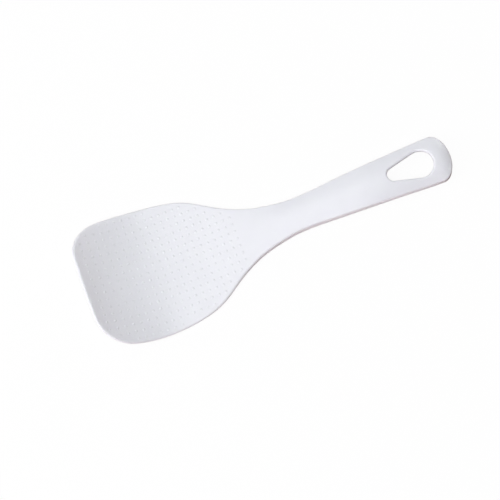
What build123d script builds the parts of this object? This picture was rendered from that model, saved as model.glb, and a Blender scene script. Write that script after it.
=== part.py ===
from build123d import *

import math
import os

# A moulded rice paddle lying on a table: one piece of plastic, blade and grip together.
# X runs along it from the tip of the blade to the end of the grip, Y across, Z up.
# The table is Z = 0, and the origin is on it, under the middle of the paddle.
# Distances along the paddle are measured from the tip, in millimetres.

# Plan of the blade and the grip
overall_length = 183.0
blade_width = 64.0
widest_at = 25.0
neck_at = 109.0
neck_width = 16.2
grip_width = 23.0
grip_round_length = 7.0

# Plan of the tip: a slightly bowed edge between two large round corners
tip_width = 56.4
tip_bow = 0.8
tip_corner_radius = 16.5

# Side view: the tip curls up in one arc, the belly rests flat on the table, and from the
# neck on the grip lifts a little clear of it
curl_length = 42.6
curl_angle = 47.0
lift_start = 90.0
lift_length = 62.0
grip_lift = 3.6
rest_cut = 0.12

# Thickness on the centre line, and how far the top falls from there to the rims
blade_thickness = 2.2
grip_thickness = 6.4
thicken_start = 52.0
blade_crown = 0.4
grip_crown = 3.0

# Thickness left where the top has rolled down at the grip's end, and the roll's length
end_thickness = 3.9
end_roll_length = 6.5

# Hanging hole, with its small end towards the blade and a soft lip
hole_length = 22.8
hole_big_radius = 6.5
hole_small_radius = 3.3
hole_to_end = 8.6
hole_lip_radius = 0.9

# Recess under the grip, which leaves an even wall and skin, also round the hanging hole
recess_start = 100.0
recess_wall = 2.2
recess_skin = 2.4
recess_roof_radius = 1.2

# How far a trimming shape runs past what it trims
overrun = 1.0

# Outline from the widest place to the neck: shares of the run and of the fall in width
shoulder_shares = [
    (0.2, 0.045),
    (0.33, 0.14),
    (0.42, 0.277),
    (0.52, 0.508),
    (0.62, 0.71),
    (0.74, 0.873),
    (0.88, 0.975),
]
# Outline from the neck to the round end: shares of the run and of the growth in width
grip_shares = [(0.17, 0.16), (0.5, 0.55), (0.8, 0.85)]
# Places of the cross sections, as shares of the overall length
section_shares = [
    0, 0.04, 0.08, 0.13, 0.18, 0.24, 0.31, 0.38, 0.46, 0.54, 0.62, 0.71, 0.8, 0.88, 0.945, 0.975, 1
]
# Roundings of the rims, as shares of the blade's wall at its rim
top_round_share = 0.5
bottom_round_share = 0.35

curl_radius = curl_length / math.sin(math.radians(curl_angle))
tip_rise = curl_radius * (1 - math.cos(math.radians(curl_angle)))
blank_height = tip_rise + grip_thickness + overrun
grip_round_at = overall_length - grip_round_length
rim_wall = blade_thickness - blade_crown
hole_start = overall_length - hole_to_end - hole_length
hole_big_at = overall_length - hole_to_end - hole_big_radius
hole_small_at = hole_start + hole_small_radius
recess_small_radius = neck_width / 2 - recess_wall
recess_big_radius = grip_width / 2 - recess_wall
recess_big_at = overall_length - recess_wall - recess_big_radius


def from_tip(distance, y=0.0):
    """A point of the plan, a distance from the tip and y off the centre line."""
    return (distance - overall_length / 2, y)


def smooth(share):
    """Ease a share from 0 to 1 with no kink at either end."""
    share = min(max(share, 0), 1)
    return share * share * (3 - 2 * share)


def grip_share(distance):
    """How far the cross section has turned from the blade's, 0, to the grip's, 1."""
    return smooth((distance - thicken_start) / (neck_at - thicken_start))


def blend(on_blade, on_grip, distance):
    """A size that changes smoothly from the blade to the grip."""
    return on_blade + (on_grip - on_blade) * grip_share(distance)


def slope(distance):
    """Angle of the curl, which is steepest at the tip."""
    inside = curl_length - max(distance, 0)
    return math.asin(max(inside, 0) / curl_radius)


def underside(distance):
    """Height of the underside, before the belly is cut flat."""
    past_tip = max(-distance, 0)
    curl = curl_radius * (1 - math.cos(slope(distance))) + past_tip * math.tan(slope(distance))
    lift = grip_lift * smooth((distance - lift_start) / lift_length)
    return curl + lift - rest_cut


def rolled(distance):
    """Share of the thickness that is left where the top rolls down at the grip's end."""
    share = max(distance - overall_length + end_roll_length, 0) / end_roll_length
    return 1 - (1 - end_thickness / grip_thickness) * share ** 2


def top(distance):
    """Height of the top on the centre line."""
    thickness = blend(blade_thickness, grip_thickness, distance) * rolled(distance)
    return underside(distance) + thickness / math.cos(slope(distance))


def cross_sections(skin, foot):
    """Cross sections along the paddle, their tops a skin lower and their feet lower than the real ones."""
    distances = [share * overall_length for share in section_shares]
    sections = []
    for distance in [-overrun] + distances + [overall_length + overrun]:
        rim = blend(blade_width / 2, grip_width / 2, distance)
        half = rim + overrun
        fall = blend(blade_crown, grip_crown, distance) * rolled(distance) * (half / rim) ** 2
        low = underside(distance) - foot
        high = top(distance) - skin
        with BuildSketch(Plane.YZ.offset(from_tip(distance)[0])) as section:
            with BuildLine():
                Polyline((-half, high - fall), (-half, low), (half, low), (half, high - fall))
                ThreePointArc((half, high - fall), (0, high), (-half, high - fall))
            make_face()
        sections.append(section.sketch)
    return sections


def outline_points(shares, start, end):
    """Points of the outline from one corner to the next, each a distance and a half width."""
    points = [start]
    for along, across in shares:
        distance = start[0] + along * (end[0] - start[0])
        points.append((distance, start[1] + across * (end[1] - start[1])))
    points.append(end)
    return [from_tip(*point) for point in points]


def is_upright(face):
    """Whether a face stands square to the table."""
    return face.normal_at().Z ** 2 < math.radians(1) ** 2


def is_hole_wall(face):
    """Whether an upright face belongs to the hanging hole."""
    hole_middle = Vector(*from_tip(hole_start + hole_length / 2))
    return is_upright(face) and abs(face.center().X - hole_middle.X) < hole_length / 2 + overrun \
        and abs(face.center().Y) < hole_big_radius


def is_top_edge(edge):
    """Whether a rim's edge is on the top and not on the underside."""
    place = edge.position_at(0.5)
    distance = place.X + overall_length / 2
    return place.Z > underside(distance) + rim_wall / 2


# Plan outline of the whole paddle
with BuildSketch() as plan:
    with BuildLine():
        widest = (widest_at, blade_width / 2)
        neck = (neck_at, neck_width / 2)
        grip_end = (grip_round_at, grip_width / 2)
        ThreePointArc(from_tip(tip_bow, -tip_width / 2), from_tip(0), from_tip(tip_bow, tip_width / 2))
        side = Spline(from_tip(tip_bow, tip_width / 2), from_tip(*widest), tangents=[(1, 0.25), (1, 0)])
        shoulder = Spline(*outline_points(shoulder_shares, widest, neck), tangents=[(1, 0), (1, 0)])
        grip_side = Spline(*outline_points(grip_shares, neck, grip_end), tangents=[(1, 0), (1, 0)])
        mirror([side, shoulder, grip_side], about=Plane.XZ)
        EllipticalCenterArc(
            from_tip(grip_round_at), grip_round_length, grip_width / 2, start_angle=-90, arc_size=180
        )
    make_face()
    fillet(plan.vertices().group_by(Axis.X)[0], radius=tip_corner_radius)

# Plan of the hanging hole
with BuildSketch() as hole:
    with Locations(from_tip(hole_small_at)):
        Circle(hole_small_radius)
    with Locations(from_tip(hole_big_at)):
        Circle(hole_big_radius)
    make_hull()

# Plan of the recess, which widens with the grip and runs on round the hanging hole
with BuildSketch() as recess_plan:
    with Locations(from_tip(recess_start + recess_small_radius)):
        Circle(recess_small_radius)
    with Locations(from_tip(recess_big_at)):
        Circle(recess_big_radius)
    make_hull()

# Shape that the recess takes out of the grip, with its roof even with the crowned top
recess_sections = cross_sections(recess_skin, grip_thickness)
with BuildPart() as recess:
    add(recess_plan.sketch)
    extrude(amount=blank_height)
    loft(recess_sections, mode=Mode.INTERSECT)
    roof = recess.faces().sort_by(Axis.Z)[-1]
    fillet(roof.edges(), radius=recess_roof_radius)

# The paddle: its plan trimmed to its curled and crowned side view and rounded, then cored
# from below, pierced, and cut flat where it rests on the table
paddle_sections = cross_sections(0, 0)
with BuildPart() as paddle:
    add(plan.sketch)
    extrude(amount=blank_height, both=True)
    loft(paddle_sections, mode=Mode.INTERSECT)

    rims = paddle.faces().filter_by(is_upright).edges().filter_by(GeomType.LINE, reverse=True)
    top_rims = rims.filter_by(is_top_edge)
    fillet(top_rims, radius=top_round_share * rim_wall)
    fillet(rims - top_rims, radius=bottom_round_share * rim_wall)

    add(recess.part, mode=Mode.SUBTRACT)
    add(hole.sketch)
    extrude(amount=blank_height, both=True, mode=Mode.SUBTRACT)
    lips = paddle.faces().filter_by(is_hole_wall).edges().filter_by(GeomType.LINE, reverse=True)
    fillet(lips, radius=hole_lip_radius)

    split(bisect_by=Plane.XY, keep=Keep.TOP)

paddle.part.label = "paddle"
os.makedirs("parts", exist_ok=True)
export_step(paddle.part, "parts/paddle.step")
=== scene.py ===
import math

import bpy
from mathutils import Matrix, Vector


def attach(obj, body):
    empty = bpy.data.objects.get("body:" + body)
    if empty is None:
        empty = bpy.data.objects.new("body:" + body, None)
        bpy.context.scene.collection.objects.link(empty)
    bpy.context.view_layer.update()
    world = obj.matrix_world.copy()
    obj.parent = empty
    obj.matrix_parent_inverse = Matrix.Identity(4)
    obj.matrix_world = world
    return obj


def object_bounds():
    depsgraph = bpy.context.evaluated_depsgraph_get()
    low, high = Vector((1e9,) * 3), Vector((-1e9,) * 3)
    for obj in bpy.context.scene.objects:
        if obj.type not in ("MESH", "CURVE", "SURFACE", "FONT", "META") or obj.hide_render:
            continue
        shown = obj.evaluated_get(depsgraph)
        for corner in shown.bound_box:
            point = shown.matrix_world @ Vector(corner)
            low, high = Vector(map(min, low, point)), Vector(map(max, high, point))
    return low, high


# A white moulded rice paddle lying on a pale floor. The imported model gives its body; the nubs
# on the serving side of the blade, the plastic and the studio are made here.
# All lengths are in metres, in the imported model's own place.

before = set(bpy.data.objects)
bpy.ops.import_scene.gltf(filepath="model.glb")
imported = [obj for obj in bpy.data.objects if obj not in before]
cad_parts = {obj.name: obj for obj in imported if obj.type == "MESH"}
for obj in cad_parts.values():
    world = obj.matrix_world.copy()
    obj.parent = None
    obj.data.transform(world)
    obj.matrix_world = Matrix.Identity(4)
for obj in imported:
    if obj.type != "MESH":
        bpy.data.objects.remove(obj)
model_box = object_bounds()
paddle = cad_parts["paddle"]

# Nubs: low domes in a square pattern over the blade, seen from above
nub_width = 0.0015
nub_height = 0.00016
nub_skirt = nub_height / 3
nub_column_pitch = 0.00351
nub_row_pitch = 0.00365
nub_columns = 21
nub_rows_each_side = 8
first_nub_from_tip = 0.00491
nub_clear_of_rim = 0.0021
clearance_checks = 16
nub_sides = 10
nub_rings = 20
nub_smooth_below = math.radians(60)

# Camera, at the photograph's angle
camera_place = Vector((-0.00584, -0.18543, 0.68533))
camera_right = Vector((0.93142, -0.34973, -0.10073))
camera_up = Vector((0.36381, 0.90220, 0.23167))
camera_back = Vector((0.00985, -0.25243, 0.96757))
camera_lens = 107.15
sensor_width = 36.0

# Plastic: its two tints, and the stretch along the paddle where the blade's matte finish
# turns into the grip's smoother one
dull_white = (0.80, 0.82, 0.86, 1)
bright_white = (0.83, 0.85, 0.89, 1)
matte_until = -0.012
smooth_from = 0.018
grip_grain_share = 0.35
roughness_wander = 0.04

# Grain: how fine it, its ripple and its clouds are, the ripple's share of it, and its height
grain_fineness = 2200.0
ripple_fineness = 260.0
cloud_fineness = 38.0
ripple_share = 0.35
cloud_low = 0.32
cloud_high = 0.68
grain_height = 0.00003

# Soft boxes: a name, a place, a size, a power and a colour
soft_boxes = [
    ("front_left", (-0.52, -0.45, 1.35), 0.9, 9.9, (0.92, 0.97, 1.0)),
    ("back_left", (-0.52, 0.3, 1.38), 0.9, 5.3, (1.0, 1.0, 0.97)),
    ("overhead", (0.0, 0.3, 1.5), 0.7, 1.9, (0.98, 0.98, 1.0)),
    ("beyond_tip", (-1.2, 0.0, 0.8), 0.8, 8.3, (1.0, 0.93, 0.94)),
    ("beyond_end", (1.05, 0.95, 0.3), 0.75, 9.0, (1.0, 1.0, 1.0)),
]

# Sky that lights the paddle, and where along each axis one colour turns into the next;
# the camera sees a white backdrop in its place
sky_strength = 0.8
zenith_colour = (0.02, 0.02, 0.02, 1)
front_colour = (1.1, 0.94, 0.98, 1)
back_colour = (0.05, 0.05, 0.06, 1)
end_colour = (0.25, 0.16, 0.15, 1)
backdrop_white = (1.25, 1.25, 1.25, 1)
front_to_back = (-0.5, 0.5)
side_to_end = (0.1, 0.9)
horizon_to_zenith = (0.1, 0.85)

# Floor: the camera sees it glow white; the paddle sees it warmer, and dark beyond the grip's end
floor_size = 40.0
floor_drop = 0.00002
floor_glow = 0.96
floor_white = (0.9, 0.9, 0.9, 1)
floor_bounce = (0.78, 0.68, 0.66, 1)
floor_bounce_at_end = (0.16, 0.08, 0.05, 1)
floor_darkens_from = 0.07
floor_dark_at = 0.1


def nothing_selected():
    """Leave no object selected and none in edit mode."""
    if bpy.context.object and bpy.context.object.mode != "OBJECT":
        bpy.ops.object.mode_set(mode="OBJECT")
    bpy.ops.object.select_all(action="DESELECT")


# Camera
def place_camera():
    data = bpy.data.cameras.new("photo_camera")
    data.lens = camera_lens
    data.sensor_width = sensor_width
    data.clip_start = 0.01
    data.clip_end = 50.0
    camera = bpy.data.objects.new("photo_camera", data)
    bpy.context.scene.collection.objects.link(camera)
    turn = Matrix((camera_right, camera_up, camera_back)).transposed().to_4x4()
    camera.matrix_world = Matrix.Translation(camera_place) @ turn
    bpy.context.scene.camera = camera


# Materials
def add_node(tree, kind, place, values=None, **settings):
    """A node at its place, with its settings and its sockets' values."""
    node = tree.nodes.new(kind)
    node.location = place
    for key, value in settings.items():
        setattr(node, key, value)
    for key, value in (values or {}).items():
        node.inputs[key].default_value = value
    return node


def moulded_grain():
    """Fine spark-eroded grain of a moulded plastic: its height, and a mask of its slow unevenness."""
    group = bpy.data.node_groups.new("moulded_grain", "ShaderNodeTree")
    group.interface.new_socket("Place", in_out="INPUT", socket_type="NodeSocketVector")
    for label in ("Grain Fineness", "Ripple Fineness", "Cloud Fineness", "Ripple Share"):
        group.interface.new_socket(label, in_out="INPUT", socket_type="NodeSocketFloat")
    for label in ("Height", "Unevenness"):
        group.interface.new_socket(label, in_out="OUTPUT", socket_type="NodeSocketFloat")
    given = add_node(group, "NodeGroupInput", (-900, 0))
    result = add_node(group, "NodeGroupOutput", (700, 0))
    grain = add_node(group, "ShaderNodeTexNoise", (-600, 200), {"Detail": 3.0, "Roughness": 0.6})
    ripple = add_node(group, "ShaderNodeTexNoise", (-600, -50), {"Detail": 2.0, "Roughness": 0.5})
    cloud = add_node(group, "ShaderNodeTexNoise", (-600, -300), {"Detail": 4.0, "Roughness": 0.62})
    blend = add_node(group, "ShaderNodeMix", (-200, 100), data_type="FLOAT")
    spread = add_node(group, "ShaderNodeMapRange", (-200, -300), {
        "From Min": cloud_low,
        "From Max": cloud_high,
    })
    link = group.links.new
    for node in (grain, ripple, cloud):
        link(given.outputs["Place"], node.inputs["Vector"])
    link(given.outputs["Grain Fineness"], grain.inputs["Scale"])
    link(given.outputs["Ripple Fineness"], ripple.inputs["Scale"])
    link(given.outputs["Cloud Fineness"], cloud.inputs["Scale"])
    link(given.outputs["Ripple Share"], blend.inputs["Factor"])
    link(grain.outputs["Fac"], blend.inputs["A"])
    link(ripple.outputs["Fac"], blend.inputs["B"])
    link(cloud.outputs["Fac"], spread.inputs["Value"])
    link(blend.outputs["Result"], result.inputs["Height"])
    link(spread.outputs["Result"], result.inputs["Unevenness"])
    return group


def white_plastic(name, grain_group, blade_roughness, grip_roughness, grain_strength, glow_inside):
    """White moulded plastic: matte and finely grained on the blade, smoother on the grip."""
    material = bpy.data.materials.new(name)
    material.use_nodes = True
    tree = material.node_tree
    tree.nodes.clear()
    output = add_node(tree, "ShaderNodeOutputMaterial", (900, 0))
    shader = add_node(tree, "ShaderNodeBsdfPrincipled", (600, 0), {
        "IOR": 1.49,
        "Subsurface Weight": glow_inside,
        "Subsurface Radius": (1.0, 0.9, 1.1),
        "Subsurface Scale": 0.0012,
    })
    place = add_node(tree, "ShaderNodeTexCoord", (-900, 0))
    grain = add_node(tree, "ShaderNodeGroup", (-500, 0), {
        "Grain Fineness": grain_fineness,
        "Ripple Fineness": ripple_fineness,
        "Cloud Fineness": cloud_fineness,
        "Ripple Share": ripple_share,
    }, node_tree=grain_group)
    along = add_node(tree, "ShaderNodeSeparateXYZ", (-700, -350))
    to_grip = add_node(tree, "ShaderNodeMapRange", (-500, -350), {
        "From Min": matte_until,
        "From Max": smooth_from,
    }, interpolation_type="SMOOTHSTEP")
    strength = add_node(tree, "ShaderNodeMapRange", (-250, -500), {
        "To Min": grain_strength,
        "To Max": grain_strength * grip_grain_share,
    })
    finish = add_node(tree, "ShaderNodeMapRange", (-250, -250), {
        "To Min": blade_roughness,
        "To Max": grip_roughness,
    })
    wander = add_node(tree, "ShaderNodeMapRange", (-250, 0), {
        "To Min": -roughness_wander,
        "To Max": roughness_wander,
    })
    rough = add_node(tree, "ShaderNodeMath", (50, -150), operation="ADD", use_clamp=True)
    tint = add_node(tree, "ShaderNodeMix", (50, 200), {
        "A": dull_white,
        "B": bright_white,
    }, data_type="RGBA")
    bump = add_node(tree, "ShaderNodeBump", (300, -400), {"Distance": grain_height})
    link = tree.links.new
    link(place.outputs["Object"], grain.inputs["Place"])
    link(place.outputs["Object"], along.inputs["Vector"])
    link(along.outputs["X"], to_grip.inputs["Value"])
    link(to_grip.outputs["Result"], strength.inputs["Value"])
    link(to_grip.outputs["Result"], finish.inputs["Value"])
    link(grain.outputs["Unevenness"], wander.inputs["Value"])
    link(finish.outputs["Result"], rough.inputs[0])
    link(wander.outputs["Result"], rough.inputs[1])
    link(grain.outputs["Unevenness"], tint.inputs["Factor"])
    link(grain.outputs["Height"], bump.inputs["Height"])
    link(strength.outputs["Result"], bump.inputs["Strength"])
    link(tint.outputs["Result"], shader.inputs["Base Color"])
    link(rough.outputs["Value"], shader.inputs["Roughness"])
    link(bump.outputs["Normal"], shader.inputs["Normal"])
    link(shader.outputs["BSDF"], output.inputs["Surface"])
    return material


# Nubs
def blade_top(x, y):
    """Place and normal of the top of the blade above a spot of the plan, or None beside it."""
    well_above = model_box[1].z * 2
    hit, place, normal, _ = paddle.ray_cast(Vector((x, y, well_above)), Vector((0, 0, -1)))
    return (place, normal) if hit else None


def has_room(x, y):
    """Whether the blade goes on far enough all round a spot for a nub to stand there."""
    for step in range(clearance_checks):
        angle = math.tau * step / clearance_checks
        across = nub_clear_of_rim * math.cos(angle)
        along = nub_clear_of_rim * math.sin(angle)
        if not blade_top(x + across, y + along):
            return False
    return True


def one_nub():
    """A low dome with a short skirt that sinks into the blade."""
    ball_radius = ((nub_width / 2) ** 2 + nub_height ** 2) / (2 * nub_height)
    nothing_selected()
    bpy.ops.mesh.primitive_uv_sphere_add(
        segments=nub_sides,
        ring_count=nub_rings,
        radius=ball_radius,
        location=(0, 0, nub_height - ball_radius),
    )
    nub = bpy.context.object
    bpy.ops.object.transform_apply(location=True, rotation=True, scale=True)
    bpy.ops.object.mode_set(mode="EDIT")
    bpy.ops.mesh.select_all(action="SELECT")
    bpy.ops.mesh.bisect(
        plane_co=(0, 0, -nub_skirt), plane_no=(0, 0, 1), use_fill=True, clear_inner=True
    )
    bpy.ops.object.mode_set(mode="OBJECT")
    bpy.ops.object.shade_smooth_by_angle(angle=nub_smooth_below)
    return nub


def make_nubs(material):
    """All the nubs of the blade, as one piece."""
    pattern = one_nub()
    copies = []
    for column in range(nub_columns):
        x = model_box[0].x + first_nub_from_tip + column * nub_column_pitch
        for row in range(-nub_rows_each_side, nub_rows_each_side + 1):
            y = row * nub_row_pitch
            if not has_room(x, y):
                continue
            place, normal = blade_top(x, y)
            turn = normal.to_track_quat("Z", "Y").to_matrix().to_4x4()
            nub = pattern.copy()
            nub.data = pattern.data.copy()
            nub.matrix_world = Matrix.Translation(place) @ turn
            bpy.context.scene.collection.objects.link(nub)
            copies.append(nub)
    bpy.data.objects.remove(pattern)
    nothing_selected()
    for nub in copies:
        nub.select_set(True)
    bpy.context.view_layer.objects.active = copies[0]
    bpy.ops.object.join()
    nubs = bpy.context.object
    nubs.name = "nubs"
    bpy.ops.object.transform_apply(location=True, rotation=True, scale=True)
    nubs.data.materials.clear()
    nubs.data.materials.append(material)
    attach(nubs, "root")


# Floor and light
def make_floor():
    """A pale floor, evenly white to the camera, that throws a warm light on the paddle's rims."""
    nothing_selected()
    bpy.ops.mesh.primitive_plane_add(size=floor_size, location=(0, 0, -floor_drop))
    floor = bpy.context.object
    floor.name = "floor"
    material = bpy.data.materials.new("pale_floor")
    material.use_nodes = True
    tree = material.node_tree
    tree.nodes.clear()
    output = add_node(tree, "ShaderNodeOutputMaterial", (600, 0))
    path = add_node(tree, "ShaderNodeLightPath", (-600, 0))
    share = add_node(tree, "ShaderNodeMath", (-200, 200), {1: floor_glow}, operation="MULTIPLY")
    place = add_node(tree, "ShaderNodeTexCoord", (-1000, -200))
    along = add_node(tree, "ShaderNodeSeparateXYZ", (-800, -200))
    to_end = add_node(tree, "ShaderNodeMapRange", (-600, -200), {
        "From Min": floor_darkens_from,
        "From Max": floor_dark_at,
    }, interpolation_type="SMOOTHSTEP")
    bounce = add_node(tree, "ShaderNodeMix", (-400, -100), {
        "A": floor_bounce,
        "B": floor_bounce_at_end,
    }, data_type="RGBA")
    colour = add_node(tree, "ShaderNodeMix", (-200, 0), {"B": floor_white}, data_type="RGBA")
    matte = add_node(tree, "ShaderNodeBsdfDiffuse", (50, 0))
    glow = add_node(tree, "ShaderNodeEmission", (50, -200), {
        "Color": (1, 1, 1, 1),
        "Strength": 1.0,
    })
    mixed = add_node(tree, "ShaderNodeMixShader", (350, 0))
    link = tree.links.new
    link(path.outputs["Is Camera Ray"], share.inputs[0])
    link(path.outputs["Is Camera Ray"], colour.inputs["Factor"])
    link(place.outputs["Object"], along.inputs["Vector"])
    link(along.outputs["X"], to_end.inputs["Value"])
    link(to_end.outputs["Result"], bounce.inputs["Factor"])
    link(bounce.outputs["Result"], colour.inputs["A"])
    link(colour.outputs["Result"], matte.inputs["Color"])
    link(share.outputs["Value"], mixed.inputs["Fac"])
    link(matte.outputs["BSDF"], mixed.inputs[1])
    link(glow.outputs["Emission"], mixed.inputs[2])
    link(mixed.outputs["Shader"], output.inputs["Surface"])
    floor.data.materials.append(material)


def soft_box(name, place, size, power, colour):
    """A square studio light that faces the paddle."""
    data = bpy.data.lights.new(name, "AREA")
    data.shape = "SQUARE"
    data.size = size
    data.energy = power
    data.color = colour
    light = bpy.data.objects.new(name, data)
    bpy.context.scene.collection.objects.link(light)
    light.location = place
    light.rotation_euler = Vector(place).to_track_quat("Z", "Y").to_euler()


def turn_along(tree, place, stretch):
    """A node that goes from 0 to 1 over a stretch of its value."""
    return add_node(tree, "ShaderNodeMapRange", place, {
        "From Min": stretch[0],
        "From Max": stretch[1],
    })


def light_studio():
    """The soft boxes, and a sky that is dark overhead and brightest towards the front."""
    scene = bpy.context.scene
    scene.view_settings.view_transform = "Standard"
    world = bpy.data.worlds.new("studio")
    scene.world = world
    world.use_nodes = True
    tree = world.node_tree
    tree.nodes.clear()
    output = add_node(tree, "ShaderNodeOutputWorld", (900, 0))
    background = add_node(tree, "ShaderNodeBackground", (700, 0), {"Strength": sky_strength})
    place = add_node(tree, "ShaderNodeTexCoord", (-900, 0))
    axes = add_node(tree, "ShaderNodeSeparateXYZ", (-700, 0))
    to_back = turn_along(tree, (-400, 300), front_to_back)
    to_end = turn_along(tree, (-400, 0), side_to_end)
    to_zenith = turn_along(tree, (-400, -300), horizon_to_zenith)
    sides = add_node(tree, "ShaderNodeMix", (-100, 300), {
        "A": front_colour,
        "B": back_colour,
    }, data_type="RGBA")
    horizon = add_node(tree, "ShaderNodeMix", (150, 150), {"B": end_colour}, data_type="RGBA")
    sky = add_node(tree, "ShaderNodeMix", (400, 0), {"B": zenith_colour}, data_type="RGBA")
    path = add_node(tree, "ShaderNodeLightPath", (400, 300))
    seen = add_node(tree, "ShaderNodeMix", (550, 0), {"B": backdrop_white}, data_type="RGBA")
    link = tree.links.new
    link(place.outputs["Generated"], axes.inputs["Vector"])
    link(axes.outputs["Y"], to_back.inputs["Value"])
    link(axes.outputs["X"], to_end.inputs["Value"])
    link(axes.outputs["Z"], to_zenith.inputs["Value"])
    link(to_back.outputs["Result"], sides.inputs["Factor"])
    link(sides.outputs["Result"], horizon.inputs["A"])
    link(to_end.outputs["Result"], horizon.inputs["Factor"])
    link(horizon.outputs["Result"], sky.inputs["A"])
    link(to_zenith.outputs["Result"], sky.inputs["Factor"])
    link(sky.outputs["Result"], seen.inputs["A"])
    link(path.outputs["Is Camera Ray"], seen.inputs["Factor"])
    link(seen.outputs["Result"], background.inputs["Color"])
    link(background.outputs["Background"], output.inputs["Surface"])
    for box in soft_boxes:
        soft_box(*box)


place_camera()
grain_group = moulded_grain()
paddle_plastic = white_plastic(
    "white_plastic",
    grain_group,
    blade_roughness=0.42,
    grip_roughness=0.3,
    grain_strength=0.5,
    glow_inside=0.12,
)
# Less light wanders inside the nubs, because they are thin
nub_plastic = white_plastic(
    "nub_plastic",
    grain_group,
    blade_roughness=0.36,
    grip_roughness=0.32,
    grain_strength=0.2,
    glow_inside=0.04,
)
paddle.data.materials.clear()
paddle.data.materials.append(paddle_plastic)
make_nubs(nub_plastic)
make_floor()
light_studio()
